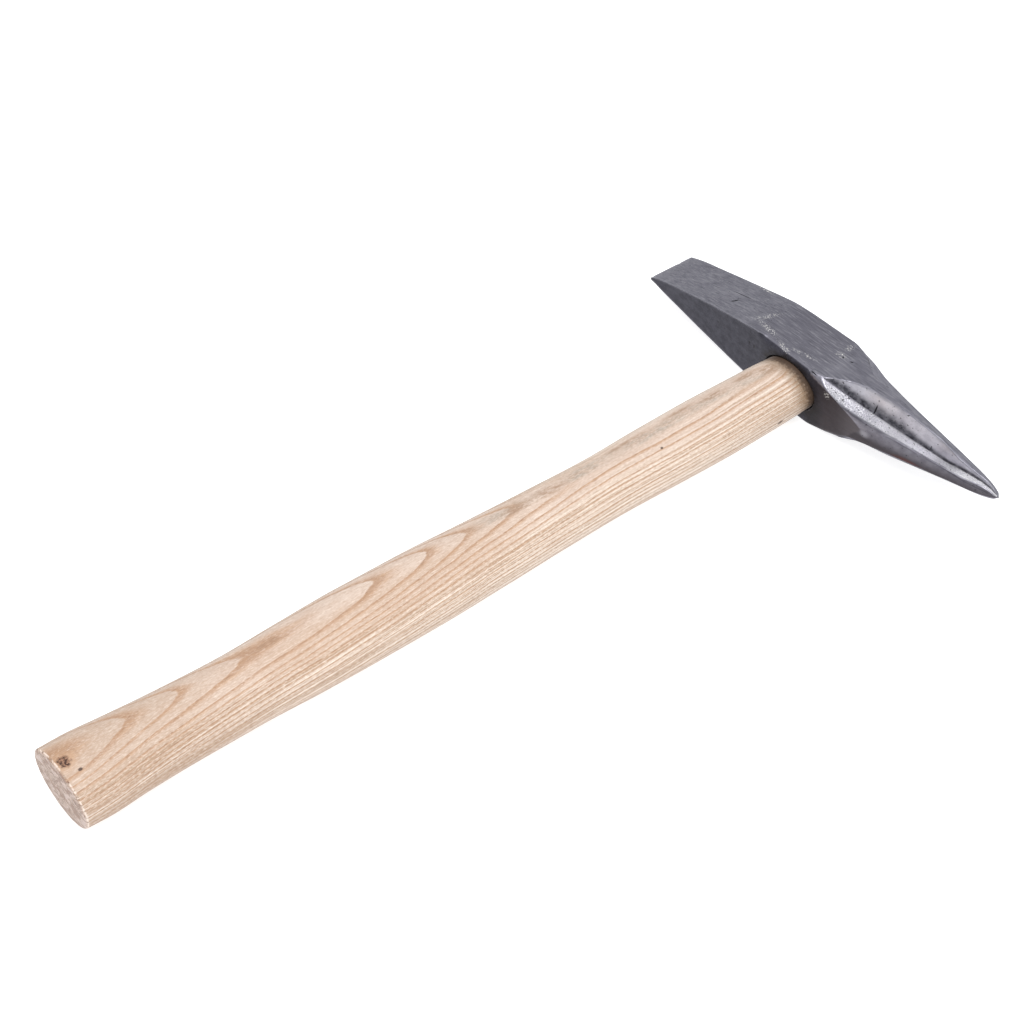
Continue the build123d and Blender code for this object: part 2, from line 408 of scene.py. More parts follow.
def head_grid():
    x = head_stations()
    angle = head_angles(x)
    stations = np.broadcast_to(x[:, None], angle.shape)
    centre, half_y, half_z = body_sizes(stations, angle)
    flat = 1 - smooth_step(stations, -20, 6)
    squash = flat * half_z / half_y + (1 - flat)
    true_angle = np.arctan2(np.sin(angle) * squash, np.cos(angle))
    radius, _ = head_radius(stations, true_angle)
    from_edge = (stations - EDGE_X) / EDGE_ROUND
    nose = np.where(from_edge < 1, np.sqrt(np.clip(1 - (1 - from_edge) ** 2, 0.04, 1)), 1)
    y = centre + radius * np.cos(true_angle)
    z = radius * np.sin(true_angle) * nose + AXIS_Z
    grid = np.stack([stations, y, z], axis=2)
    flat_points = grid.reshape(-1, 3)
    flat_normals = grid_normals(grid).reshape(-1, 3)
    calm = window(flat_points[:, 0], EDGE_X, EDGE_X + 3, TIP_X - 6, TIP_X - 1)
    height = head_unevenness(flat_points, flat_normals) * calm - dent_depth(flat_points)
    moved = flat_points + flat_normals * height[:, None]
    return np.clip(moved, HEAD_LOW, HEAD_HIGH).reshape(grid.shape)     # stays in the CAD's box


def build_head():
    grid = head_grid()
    rows, columns = grid.shape[:2]
    points = grid.reshape(-1, 3)
    faces = ring_faces(rows, columns)
    for c in range(columns // 2):
        low, low_next = c, c + 1
        high, high_next = (columns - c) % columns, (columns - c - 1) % columns
        faces.append(tuple(dict.fromkeys([low, low_next, high_next, high])))
    tip = len(points)
    points = np.vstack([points, [TIP_X - 0.02, 0, AXIS_Z]])
    last = (rows - 1) * columns
    for c in range(columns):
        faces.append((last + c, last + (c + 1) % columns, tip))
    head = make_object("head_forging", points, faces)
    outward(head)
    return head


def eye_half_sizes(y):
    return smooth_curve(column(EYE, 1), y), smooth_curve(column(EYE, 2), y)


def eye_cutter():
    """An oval plug a little wider than the tenon, flared where it meets the two sides."""
    turns = np.linspace(0, 2 * np.pi, 96, endpoint=False)
    side_x = 12.7 * np.cos(turns)
    near = -smooth_curve(HANDLE_SIDE, side_x)
    far = smooth_curve(FAR_SIDE, side_x)
    depths = [-2.5, -0.2, 0, 0.15, 0.35, 0.7, 1.3, 3]
    rings = [(near + depth, 0.45 * max(0, 1 - max(depth, 0) / 0.7) ** 1.6) for depth in depths]
    rings.append((np.zeros_like(turns), 0))
    rings += [(far - depth, 0.6 * max(0, 1 - max(depth, 0) / 0.9) ** 1.4) for depth in depths[::-1]]
    points = []
    for y, flare in rings:
        half_x, half_z = eye_half_sizes(y)
        grow = EYE_GAP + flare
        points.append(np.stack([(half_x + grow) * np.cos(turns), y,
                                (half_z + grow) * np.sin(turns) + AXIS_Z], axis=1))
    grid = np.array(points)
    rows, columns = grid.shape[:2]
    faces = ring_faces(rows, columns)
    faces.append(tuple(range(columns)))
    faces.append(tuple((rows - 1) * columns + c for c in range(columns)))
    cutter = make_object("eye_cutter", grid.reshape(-1, 3), faces)
    outward(cutter)
    return cutter


def face_end_x(z):
    """x where the flat side towards the handle ends in an arch, by height from the axis."""
    above = z - 1.2
    return 36.2 - np.where(above > 0, 1.2 * np.abs(above) ** 1.4, 1.9 * np.abs(above) ** 0.65)


def valley_scale_and_shade(x, angle):
    """The dark scale left along the flutes' valleys, with painted shade there."""
    scale = np.zeros_like(x)
    for direction, start in FLUTES:
        _, turn = flute_radius(x, angle, direction, start)
        cheekwards = turn * np.sign(math.sin(2 * math.radians(direction)))
        width = np.where(cheekwards > 0, smooth_curve(VALLEY_BAND, x),
                         smooth_curve(VALLEY_BAND_BELOW, x))
        if direction != SHOWN_FLUTE:
            width = np.minimum(width, HIDDEN_BAND)
        scale = np.maximum(scale, 1 - smooth_step(np.abs(turn) / np.radians(width), 0.35, 1))
    return scale


def worn_corners(x, y, z, near_eye):
    """Bare steel along the body's long corners and the cutting edge."""
    half_y = np.where(y > 0, smooth_curve(FAR_SIDE, x), smooth_curve(HANDLE_SIDE, x))
    to_corner = np.hypot(half_y - np.abs(y), smooth_curve(CHEEK, x) - np.abs(z))
    worn = np.exp(-(to_corner / 0.5) ** 2) * (x < 12) * (1 - 0.85 * near_eye)
    return np.maximum(worn, 1 - smooth_step(x - EDGE_X, 0.2, 1.1))


def paint_head(head):
    """Masks for the steel: forging skin, flutes, their valleys' scale and painted shade, worn
    edges, the shown flute's painted lit wall and rim highlight, and painted shade under that rim,
    in the bore and round the eye.
    """
    points, normals = points_of(head)
    x, y = points[:, 0], points[:, 1]
    z = points[:, 2] - AXIS_Z
    to_side = np.abs(normals[:, 1])
    centre = smooth_curve(CONE_CENTRE_Y, x)
    angle = np.arctan2(z, y - centre)
    angle_deg = np.degrees(angle)
    _, depth = head_radius(x, angle)
    in_flute = smooth_step(depth, 0.06, 0.3) * (x > 9)
    valley = valley_scale_and_shade(x, angle) * in_flute
    towards_cheek = smooth_step(to_side - np.abs(normals[:, 2]), -0.1, 0.3)
    shown = np.exp(-(((angle_deg - 128) / 46) ** 6))
    bright = in_flute * (1 - 0.6 * towards_cheek * smooth_step(x, 50, 74)) * (0.3 + 0.7 * shown)
    from_valley = angle_deg - np.degrees(flute_centre(x, SHOWN_FLUTE))
    sunny = smooth_step(from_valley, -1, 1) * in_flute * shown
    # Painted shade: a dark line along the crease under the shown flute's lower rim
    rim_turn = angle_deg - smooth_curve(RIM_TO_SIDE, x)
    shade_under_rim = np.exp(-((rim_turn - 1.6) / 1.5) ** 2) * smooth_step(x, 22, 28) * (x < TIP_X - 3)
    near_eye = window(x, -26, -16, 8, 14) * (y < 0) * (z > 0)
    sideways = smooth_step(to_side + 0.22 * near_eye, 0.6, 0.86)
    before_arch = 1 - smooth_step(x - face_end_x(z), -0.5, 0.4)
    skin = sideways * before_arch * (1 - in_flute)
    past_side = smooth_step(x - face_end_x(z), -3.5, -1.5)
    lobe = smooth_step(to_side, 0.25, 0.8) * past_side * (1 - in_flute)
    # Painted highlight along the shown flute's rim, stored with the worn edges
    rim = 0.35 * window(depth, 0, 0.05, 0.1, 0.35) * (x > 12) * shown * (angle_deg < 170)
    worn = np.maximum(worn_corners(x, y, z, near_eye), rim)
    # Inside the eye: painted shade
    oval = (x / BORE_HALF_X) ** 2 + (z / BORE_HALF_Z) ** 2
    bore = 1 - smooth_step(oval, 0.98, 1.06)
    # Painted shade and painted reflection of the handle round the eye, on the two sides
    shade_round_eye = (1 - smooth_step(oval, 1.05, 1.75)) * smooth_step(to_side, 0.3, 0.7)
    masks = {
        "skin": skin, "shade_round_eye": shade_round_eye * (1 - in_flute), "lobe": lobe, "shade_under_rim": shade_under_rim,
        "sunny": sunny, "from_valley": from_valley, "flute": bright, "valley": valley,
        "worn": worn * (1 - bore), "bore": bore,
    }
    for name, values in masks.items():
        paint(head, name, values)


# -------------------- bars: handle and wedges
def bar(name, sections, columns):
    """A closed bar from rings of (y, x outline, z outline) and a point at each end."""
    points = []
    for y, x, z in sections:
        points.append(np.stack([x, np.broadcast_to(y, x.shape), z], axis=1))
    grid = np.array(points)
    rows = len(grid)
    faces = ring_faces(rows, columns)
    flat = grid.reshape(-1, 3)
    start, end = len(flat), len(flat) + 1
    flat = np.vstack([flat, grid[0].mean(axis=0), grid[-1].mean(axis=0)])
    for c in range(columns):
        d = (c + 1) % columns
        faces.append((d, c, start))
        faces.append(((rows - 1) * columns + c, (rows - 1) * columns + d, end))
    piece = make_object(name, flat, faces)
    outward(piece)
    return piece


HANDLE_COLUMNS = 150
WEDGE_COLUMNS = 88
WEDGE_SHARPNESS = 16            # exponent of a wedge's corners


def handle_sections():
    turns = np.linspace(0, 2 * np.pi, HANDLE_COLUMNS, endpoint=False)
    rows = []
    for share in (0.12, 0.25, 0.38, 0.5, 0.61, 0.71, 0.79, 0.85, 0.89):
        rows.append((BUTT_Y + 0.02 + 0.2 * share ** 3, share))    # a slight dome
    for bend in np.radians([8, 22, 38, 54, 70, 84]):
        inset = BUTT_ROUND * (1 - math.sin(bend))
        drop = BUTT_ROUND * (1 - math.cos(bend))
        rows.append((BUTT_Y + 0.18 + drop * 0.85, 1 - inset / 11.1))
    for y in np.arange(BUTT_Y + 1.8, -24, 0.72):
        rows.append((y, 1))
    for y in np.arange(-24, TENON_END_Y - 0.45, 0.6):
        rows.append((y, 1))
    rows.append((TENON_END_Y - 0.28, 1))
    for share in (0.975, 0.94, 0.88, 0.8, 0.7, 0.58, 0.45, 0.3, 0.15):
        rows.append((TENON_END_Y - 0.1, share))
    sections = []
    for y, share in rows:
        middle, half_x, half_z = [smooth_curve(column(HANDLE, i), y) for i in (1, 2, 3)]
        x = middle + half_x * share * np.cos(turns)
        z = half_z * share * np.sin(turns) + AXIS_Z
        sections.append((np.full_like(x, y), x, z))
    return sections


def roughen_handle(handle):
    """Hand-sanded waves on the sides, sawn texture and knocks on the two ends."""
    points, normals = points_of(handle)
    y = points[:, 1]
    ends = smooth_step(np.abs(normals[:, 1]), 0.5, 0.9)
    tenon = smooth_step(y, -16, -12)
    waves = noise_at(points, (13, 46, 13), 11) * 0.1 + noise_at(points, (5, 18, 5), 12) * 0.035
    sawn = noise_at(points, (2.4, 9, 0.9), 13) * 0.07 + noise_at(points, (1.1, 9, 1.1), 14) * 0.04
    rim = np.abs(normals[:, 1]) * (1 - ends)
    knocks = np.minimum(noise_at(points, 3.5, 15) + 0.1, 0) * rim * 0.35
    height = (waves - 0.1) * (1 - ends) * (1 - tenon)
    height = height + knocks + (sawn - 0.06) * ends
    moved = points + normals * height[:, None]
    moved[:, 1] = np.clip(moved[:, 1], BUTT_Y, TENON_END_Y)
    move_points(handle, moved)


def wedge_sections(half_wide, half_top, half_foot, depth, top_y, oval):
    """Rings of a wedge, from its thin foot to its rounded top, kept inside the oval."""
    turns = np.linspace(0, 2 * np.pi, WEDGE_COLUMNS, endpoint=False)
    foot_y = top_y - depth
    rows = [(foot_y, s) for s in (0.3, 0.7, 0.94)]
    rows += [(y, 1) for y in np.linspace(foot_y + 0.25, top_y - 0.35, 26)]
    rows += [(top_y - 0.12, 0.985), (top_y - 0.03, 0.94)]
    rows += [(top_y, s) for s in (0.85, 0.7, 0.5, 0.3, 0.12)]
    sections = []
    for y, share in rows:
        half_thin = half_foot + (half_top - half_foot) * (y - foot_y) / depth
        cos, sin = np.cos(turns), np.sin(turns)
        reach = (np.abs(cos) ** WEDGE_SHARPNESS + np.abs(sin) ** WEDGE_SHARPNESS)
        reach = reach ** (-1 / WEDGE_SHARPNESS)
        across = half_wide * cos * reach
        thick = half_thin * sin * reach
        if oval is not None:
            half_x, half_z = oval(y)
            limit = half_x * np.sqrt(np.clip(1 - (thick / half_z) ** 2, 0, 1))
            across = np.clip(across, -limit, limit)
        sections.append((y, across * share, thick * share))
    return sections


def build_wedge(name, spec, top_y, oval=None, grow=0):
    parts = wedge_sections(spec["half_width"] + grow, spec["top"] + grow, spec["foot"] + grow,
                           spec["depth"], top_y, oval)
    turn = math.radians(spec["turn"])
    cos, sin = math.cos(turn), math.sin(turn)
    sections = []
    for y, across, thick in parts:
        x = across * cos + thick * sin
        z = -across * sin + thick * cos + AXIS_Z
        sections.append((np.full_like(x, y), x, z))
    return bar(name, sections, WEDGE_COLUMNS)


def wood_wedge_oval(y):
    """Half sizes of the oval that the wooden wedge has to stay inside."""
    return tuple(half - WEDGE_ROOM for half in eye_half_sizes(y))


def roughen_wedge(wedge, amount, seed):
    """Hammer marks on the driven end, slight waves elsewhere."""
    points, normals = points_of(wedge)
    struck = smooth_step(normals[:, 1], 0.6, 0.95)
    fine = noise_at(points, (1.6, 1.6, 1.2), seed)
    coarse = noise_at(points, 3.6, seed + 1)
    height = (fine * 0.5 + coarse) * amount * (0.3 + 0.9 * struck) - amount * 0.9
    moved = points + normals * height[:, None]
    moved[:, 1] = np.minimum(moved[:, 1], TENON_END_Y)
    move_points(wedge, moved)


# -------------------- material tools
class Graph:
    """Builds one material's nodes."""

    def __init__(self, name):
        self.material = bpy.data.materials.new(name)
        self.material.use_nodes = True
        self.tree = self.material.node_tree
        self.tree.nodes.clear()

    def node(self, kind, settings=None, **inputs):
        made = self.tree.nodes.new("ShaderNode" + kind)
        for key, value in (settings or {}).items():
            setattr(made, key, value)
        for key, value in inputs.items():
            self.feed(made.inputs[key.replace("_", " ")], value)
        return made

    def feed(self, socket, value):
        if isinstance(value, bpy.types.NodeSocket):
            self.tree.links.new(value, socket)
        else:
            socket.default_value = value

    def math(self, operation, *values, clamp=False):
        made = self.node("Math", {"operation": operation, "use_clamp": clamp})
        for socket, value in zip(made.inputs, values):
            self.feed(socket, value)
        return made.outputs[0]

    def add(self, a, b):
        return self.math("ADD", a, b)

    def less(self, a, b):
        return self.math("SUBTRACT", a, b)

    def times(self, first, *others):
        for other in others:
            first = self.math("MULTIPLY", first, other)
        return first

    def vector_math(self, operation, *values):
        made = self.node("VectorMath", {"operation": operation})
        for socket, value in zip(made.inputs, values):
            self.feed(socket, value)
        return made.outputs["Value" if operation == "LENGTH" else "Vector"]

    def stretch(self, vector, scale):
        return self.vector_math("MULTIPLY", vector, scale)

    def split(self, vector):
        return self.node("SeparateXYZ", Vector=vector).outputs

    def join(self, x, y, z):
        return self.node("CombineXYZ", X=x, Y=y, Z=z).outputs[0]

    def place_mm(self):
        """Position on the piece in millimetres, heights measured from the axis."""
        place = self.node("TexCoord").outputs["Object"]
        scaled = self.stretch(place, (1 / MM,) * 3)
        return self.vector_math("SUBTRACT", scaled, (0, 0, float(AXIS_Z)))

    def noise(self, vector, scale, detail=2, roughness=0.5, distortion=0):
        """Noise at one scale, or at a scale for each axis."""
        if isinstance(scale, tuple):
            vector, scale = self.stretch(vector, scale), 1
        made = self.node("TexNoise", Vector=vector, Scale=scale, Detail=detail,
                         Roughness=roughness, Distortion=distortion)
        return made.outputs[0]

    def fade(self, value, low, high, start=0, end=1):
        """Smooth step from start, at low, to end, at high."""
        made = self.node("MapRange", {"interpolation_type": "SMOOTHSTEP"},
                         Value=value)
        for key, number in (("From Min", low), ("From Max", high), ("To Min", start),
                            ("To Max", end)):
            self.feed(made.inputs[key], number)
        return made.outputs[0]

    def mix(self, share, a, b):
        """Colour a, turned into colour b by the share."""
        made = self.node("Mix", {"data_type": "RGBA"})
        for index, value in ((0, share), (6, a), (7, b)):
            self.feed(made.inputs[index], value)
        return made.outputs[2]

    def tints(self, colour, *coats):
        """Lays screen colours over a colour in turn. A coat is its shares, then its colour."""
        for *shares, tint in coats:
            colour = self.mix(self.times(*shares), colour, rgb(*tint))
        return colour

    def between(self, value, low, high, first, last):
        """A screen colour that goes from first, where the value is low, to last."""
        return self.mix(self.fade(value, low, high), rgb(*first), rgb(*last))

    def window(self, value, rise, full, still, fall):
        """Rises to 1 between the first two numbers and falls to 0 between the last two."""
        return self.math("MINIMUM", self.fade(value, rise, full), self.fade(value, fall, still))

    def most(self, a, b):
        return self.math("MAXIMUM", a, b)

    def absolute(self, value):
        return self.math("ABSOLUTE", value)

    def curve(self, value, points):
        made = self.node("FloatCurve", Value=value)
        line = made.mapping.curves[0]
        line.points[0].location = points[0]
        line.points[1].location = points[-1]
        for place in points[1:-1]:
            line.points.new(*place)
        for point in line.points:
            point.handle_type = "VECTOR"
        made.mapping.update()
        return made.outputs[0]

    def mask(self, name):
        return self.node("Attribute", {"attribute_name": name}).outputs["Fac"]

    def spot(self, place, centre, half_sizes, soft, turn_deg=0):
        """1 inside an ellipsoid turned about Z, 0 outside, with a soft edge."""
        made = self.node("Mapping", {"vector_type": "TEXTURE"}, Vector=place,
                         Location=centre, Rotation=(0, 0, math.radians(turn_deg)),
                         Scale=half_sizes)
        reach = self.vector_math("LENGTH", made.outputs[0])
        return self.fade(reach, 1 + soft, 1 - soft)

    def spots(self, place, marks, soft):
        """The strongest of several spots: (centre, half sizes) or with a turn after them."""
        total = 0
        for mark in marks:
            total = self.most(total, self.spot(place, mark[0], mark[1], soft, *mark[2:]))
        return total

    def bump(self, height, strength, distance):
        made = self.node("Bump", Height=height, Strength=strength, Distance=distance)
        return made.outputs[0]

    def finish(self, **inputs):
        shader = self.node("BsdfPrincipled")
        for key, value in inputs.items():
            self.feed(shader.inputs[key.replace("_", " ")], value)
        out = self.node("OutputMaterial")
        self.tree.links.new(shader.outputs[0], out.inputs[0])
        return self.material


def rgb(red, green, blue):
    """A colour given as 0 to 255 screen values, in linear light."""
    def linear(value):
        v = value / 255
        return v / 12.92 if v <= 0.04045 else ((v + 0.055) / 1.055) ** 2.4
    return (linear(red), linear(green), linear(blue), 1)


# -------------------- steel
# Bright scuffs, each with its centre (heights from the axis), half sizes and turn about Z
SCUFFS = [
    ((-23, -2.5, 10.8), (5, 1.2, 2), 62), ((-17.5, -7.3, 11.4), (5.5, 1.1, 2), -8),
    ((-6.5, -10.3, 11.4), (3.5, 0.9, 2), -14), ((1, -7.9, 11.4), (4.5, 0.8, 2), 10),
    ((9, 7.4, 11.4), (1.2, 2.2, 2), 10), ((10, 2, 11.4), (2, 1.4, 2)),
    ((18.5, -13, 6.2), (1.4, 1, 1.1)), ((-36, 10.2, 9), (6, 0.6, 1.2), -3),
]
# Dark nicks and scratches, in the same way
NICKS = [
    ((-39.3, -2.7, 7.9), (1.7, 0.55, 0.9), 62), ((-16.7, -11.7, 11.2), (1.5, 0.5, 0.5), -6),
    ((-39, 1.9, 8), (6, 0.16, 1.5), 2), ((14.9, 2.3, 11.4), (0.7, 0.35, 0.4), 20),
    ((11.2, 1.8, 11.4), (0.45, 0.3, 0.4)), ((34.5, -5.4, 6.5), (0.35, 1.3, 2.3)),
    ((45.4, -3.6, 8.3), (0.5, 0.4, 0.6)), ((58.5, -2.3, 6.1), (0.45, 0.35, 0.5)),
    ((61, -1.8, 7.1), (0.4, 0.35, 0.4)), ((-39.6, -11.1, 2.5), (0.9, 0.6, 0.7)),
    ((-22.2, -11.6, 4.1), (0.5, 0.6, 0.5)), ((-19.5, -11.7, 3.8), (0.4, 0.6, 0.8)),
    ((10.6, -12.35, 11.2), (2.3, 0.22, 0.3), -4),
]
# Painted shade for the lit flute wall, near its valley and at the flute's start
SHADED_FLUTE = (112, 110, 118)


def cheek_colour(g, place, x, strokes, patches):
    """The ground cheeks: fine marks along the head, a little darker over the eye."""
    clouds = g.noise(place, (0.06, 0.09, 0.09), 3, 0.55)
    salt = g.noise(place, (0.13, 1.6, 1.6), 3, 0.8)
    return g.tints(
        g.between(clouds, 0.3, 0.7, (134, 132, 142), (153, 151, 160)),
        (g.fade(strokes, 0.25, 0.75, 0, 0.55), (118, 117, 128)),
        (g.fade(patches, 0.55, 0.75, 0, 0.35), (112, 110, 116)),
        (g.window(x, -27, -14, 6, 15), 0.6, (120, 118, 128)),
        (g.fade(salt, 0.5, 0.75, 0, 0.65), (86, 85, 94)),
        (g.fade(salt, 0.5, 0.25, 0, 0.6), (192, 190, 196)))


def forged_colour(g, x, z, patches, grit):
    """The dark sides left from forging, with a painted brown reflection of the handle beyond the
    eye and painted shade low down beside the handle.
    """
    low = g.times(g.fade(z, 1, -2), g.fade(x, 19, 15), g.fade(x, 9, 12, 0, 0.7))
    return g.tints(
        g.between(patches, 0.3, 0.7, (44, 43, 53), (62, 61, 71)),
        (g.fade(grit, 0.5, 0.75, 0, 0.55), (84, 83, 92)),
        # Painted brown reflection of the handle, then painted shade low down beside it
        (g.fade(x, 8, 20, 0, 0.75), (48, 38, 40)),
        (low, (26, 22, 25)),
        (g.fade(x, 22, 35, 0, 0.6), (92, 86, 90)))


def lobe_colour(g, place, z, patches):
    """The point's round side between two flutes: painted shade darkening it below, with a rusty
    patch.
    """
    rust = g.spot(place, (53.9, -9.4, -1.3), (6, 2, 1.2), 0.5)
    return g.tints(
        g.between(patches, 0.3, 0.7, (112, 110, 119), (134, 132, 141)),
        (g.fade(z, 4.6, -1.4), (60, 55, 59)),
        (rust, 0.7, (78, 48, 44)))


def flute_colour(g, x, patches, grit, sparkle):
    """The ground flutes, with painted light: brightest on the wall of the shown one that faces the
    light, a painted highlight near the rim of its other wall, painted glints, and painted shade
    near its valley and at its start.
    """
    from_valley = g.mask("from_valley")
    # Painted highlight near the rim of the wall towards the cheek
    rim_highlight = g.times(g.window(from_valley, -50, -40, -15, -9), g.window(x, 23, 28, 39, 46))
    plain = g.tints(
        g.between(patches, 0.3, 0.7, (172, 170, 180), (196, 194, 203)),
        (rim_highlight, 0.45, (240, 238, 246)),
        (g.fade(grit, 0.5, 0.72, 0, 0.35), (120, 118, 126)))
    outer = g.fade(x, 34, 42)
    # Painted glints on the lit wall
    glitter = g.most(sparkle, g.times(g.fade(grit, 0.6, 0.4), outer))
    # Painted shade on the lit wall near the valley, and at the flute's start below
    deep = g.times(g.fade(from_valley, 9, 1), g.fade(x, 70, 60), g.fade(x, 34, 26, 0.55, 0.8))
    lit = g.tints(
        g.mix(outer, rgb(182, 180, 188), rgb(206, 204, 211)),
        (glitter, (255, 254, 255)),
        (deep, SHADED_FLUTE),
        (g.fade(x, 24, 16, 0, 0.6), SHADED_FLUTE))
    return g.mix(g.mask("sunny"), plain, lit)


def steel_material():
    g = Graph("forged_steel")
    place = g.place_mm()
    x, _, z = g.split(place)[:3]
    skin, flute, valley, lobe = [g.mask(name) for name in ("skin", "flute", "valley", "lobe")]
    patches = g.noise(place, (0.35, 0.45, 0.45), 4, 0.6)
    strokes = g.noise(place, (0.1, 1.3, 1.3), 4, 0.65, 0.1)
    grit = g.noise(place, 3.2, 3, 0.7)
    sparkle = g.fade(g.noise(place, 2.4, 2, 0.6), 0.42, 0.66)

    # What each area of the surface is
    colour = cheek_colour(g, place, x, strokes, patches)
    colour = g.mix(lobe, colour, lobe_colour(g, place, z, patches))
    colour = g.mix(skin, colour, forged_colour(g, x, z, patches, grit))
    colour = g.mix(flute, colour, flute_colour(g, x, patches, grit, sparkle))
    # Dark scale and painted shade along the valleys
    scale = g.between(grit, 0.35, 0.65, (30, 30, 36), (66, 65, 73))
    colour = g.mix(g.times(valley, g.fade(patches, 0.35, 0.65, 0.98, 0.72)), colour, scale)

    # What wear and handling left on it, and painted shade and highlights
    # Painted highlight on the corner at the apex of the flat side's arch
    apex_highlight = g.spot(place, (37.3, -12.6, 1.2), (1.7, 1.5, 1.1), 0.7)
    flakes = g.fade(g.noise(place, 2.7, 2, 0.6), 0.535, 0.59)
    flakes = g.times(flakes, g.fade(g.noise(place, 0.8, 2, 0.6), 0.4, 0.5))
    bright = g.times(g.spots(place, SCUFFS, 0.6), flakes)
    nicks = g.spots(place, NICKS, 0.35)
    pitted = g.most(g.times(flute, 0.07), g.times(lobe, 0.04))
    pits = g.fade(g.add(g.noise(place, 1.15, 1, 0.5), pitted), 0.735, 0.77)
    colour = g.tints(
        colour,
        # Painted shade under the shown flute's rim
        (g.mask("shade_under_rim"), 0.75, (58, 57, 64)),
        (apex_highlight, 0.6, (150, 148, 155)),
        # Bare worn steel on the corners and the cutting edge, and a painted highlight along the
        # shown flute's rim
        (g.mask("worn"), g.fade(grit, 0.35, 0.6, 0.05, 0.5), (168, 167, 176)),
        # Painted shade and painted reflection of the handle round the eye
        (g.mask("shade_round_eye"), g.fade(patches, 0.25, 0.7, 0.9, 0.3), (34, 27, 25)),
        # Painted shade inside the eye
        (g.mask("bore"), (22, 19, 19)),
        (bright, 0.95, (234, 231, 226)),
        (pits, 0.8, (44, 43, 48)),
        (nicks, (34, 33, 38)))

    rough = g.add(g.fade(strokes, 0.2, 0.8, 0.4, 0.5), g.times(skin, 0.14))
    rough = g.less(g.add(rough, g.times(valley, 0.12)), g.times(flute, 0.06))
    metal = g.less(0.92, g.most(g.times(skin, 0.35), g.times(g.mask("bore"), 0.8)))
    metal = g.less(metal, g.times(bright, 0.5))
    height = g.add(g.times(strokes, 0.5), g.times(grit, g.fade(skin, 0, 1, 0.35, 0.9)))
    height = g.less(height, g.times(g.most(nicks, pits), 2.2))
    height = g.add(height, g.times(sparkle, g.mask("sunny"), 0.8))
    return g.finish(Base_Color=colour, Roughness=rough, Metallic=metal,
                    Normal=g.bump(height, 0.45, 0.00006))


def wedge_steel_material():
    g = Graph("wedge_steel")
    place = g.place_mm()
    rust = g.fade(g.noise(place, 0.9, 4, 0.6), 0.48, 0.66)
    grit = g.noise(place, 3, 3, 0.7)
    colour = g.tints(
        g.between(grit, 0.3, 0.7, (92, 92, 98), (128, 127, 132)),
        (rust, 0.65, (96, 66, 48)))
    return g.finish(Base_Color=colour, Roughness=g.fade(rust, 0, 1, 0.42, 0.75),
                    Metallic=g.fade(rust, 0, 1, 0.9, 0.35), Normal=g.bump(grit, 0.4, 0.00008))


# -------------------- ash
# The growth rings' centre line runs above and beside the handle: (y, rise of its height)
PITH_X, PITH_X_SLOPE = -26.8, -0.0107
PITH_HEIGHT = 132.9
PITH_RISE = [(-309, 0), (-280, 2.4), (-250, 4.3), (-220, 5.9), (-190, 7.6), (-160, 9.3),
             (-130, 10.1), (-100, 10.8), (-70, 11.1), (-40, 11.6), (12, 12.1)]
PITH_RISE_TOP = 12.1
RING_ZERO = 126.05              # distance from the centre line to the ring marked 0
# Where each ring starts, measured outwards from that
RINGS = [-4.4, -2.7, 0, 1.7, 3.3, 5.2, 6.6, 7.8, 8.8, 10, 11.2, 12.5, 14.1,
         15.1, 16.3, 17.6, 18.8, 20, 21.2, 22.6, 24.1, 25.3, 26.6, 27.7, 29, 30.2, 31.6]
RINGS_FROM, RINGS_TO = -5, 32
RINGS_END_Y = 12                # where those heights end

KNOT = (0.8, -306.6, 11.1)
# Small dark spots in the wood: centre, half sizes
SPOTS = [
    ((5.8, -304.1, 10.5), (0.5, 0.7, 0.6)), ((5.3, -78.9, 9), (0.42, 0.55, 0.6)),
    ((13, -203.8, -1.6), (0.7, 0.5, 0.7)), ((13.2, -29.3, -1), (0.4, 1.6, 0.5)),
    ((11.3, -188.5, -1.2), (0.5, 0.5, 0.6)),
]
# Brown stains along the grey streak
STAINS = [
    ((-1.6, -136, 10), (1.8, 7, 2)), ((-2.2, -122, 9.8), (2.2, 6, 2)),
    ((-3.6, -47, 10), (1.5, 5.5, 2)), ((-2, -22, 9.4), (2.6, 4, 2)),
    ((-4.6, -31, 9.4), (1.2, 5, 2)), ((-5.2, -62, 9.2), (0.9, 6, 2)),
    ((-1.4, -234, 10.6), (1.1, 5, 1.5)), ((-4.4, -88, 9.4), (0.9, 9, 2)),
]


def growth_rings(g, place):
    """Distance outwards from the first ring, ring number and share of the ring."""
    x, y, z = g.split(place)[:3]
    span = RINGS_END_Y - BUTT_Y
    along = g.math("DIVIDE", g.less(y, BUTT_Y), span, clamp=True)
    rise = g.curve(along, [((a - BUTT_Y) / span, b / PITH_RISE_TOP) for a, b in PITH_RISE])
    centre_x = g.add(g.times(y, PITH_X_SLOPE), PITH_X)
    centre_z = g.add(g.times(rise, PITH_RISE_TOP), PITH_HEIGHT)
    reach = g.vector_math("LENGTH", g.join(g.less(x, centre_x), 0, g.less(centre_z, z)))
    out = g.less(reach, RING_ZERO)
    slow = g.noise(place, (0.05, 0.016, 0.05))
    quick = g.noise(place, (0.3, 0.07, 0.3))
    out = g.add(out, g.times(g.less(slow, 0.5), 0.5))
    out = g.add(out, g.times(g.less(quick, 0.5), 0.35))
    out = g.less(out, g.times(g.spot(place, KNOT, (9, 9, 9), 0.9), 0.4))
    width = RINGS_TO - RINGS_FROM
    count = len(RINGS) + 1
    stops = [((start - RINGS_FROM) / width, (i + 1) / count) for i, start in enumerate(RINGS)]
    share = g.math("DIVIDE", g.less(out, RINGS_FROM), width)
    number = g.times(g.curve(share, [(0, 0)] + stops + [(1, 1)]), count)
    return out, number, g.math("FRACT", number)


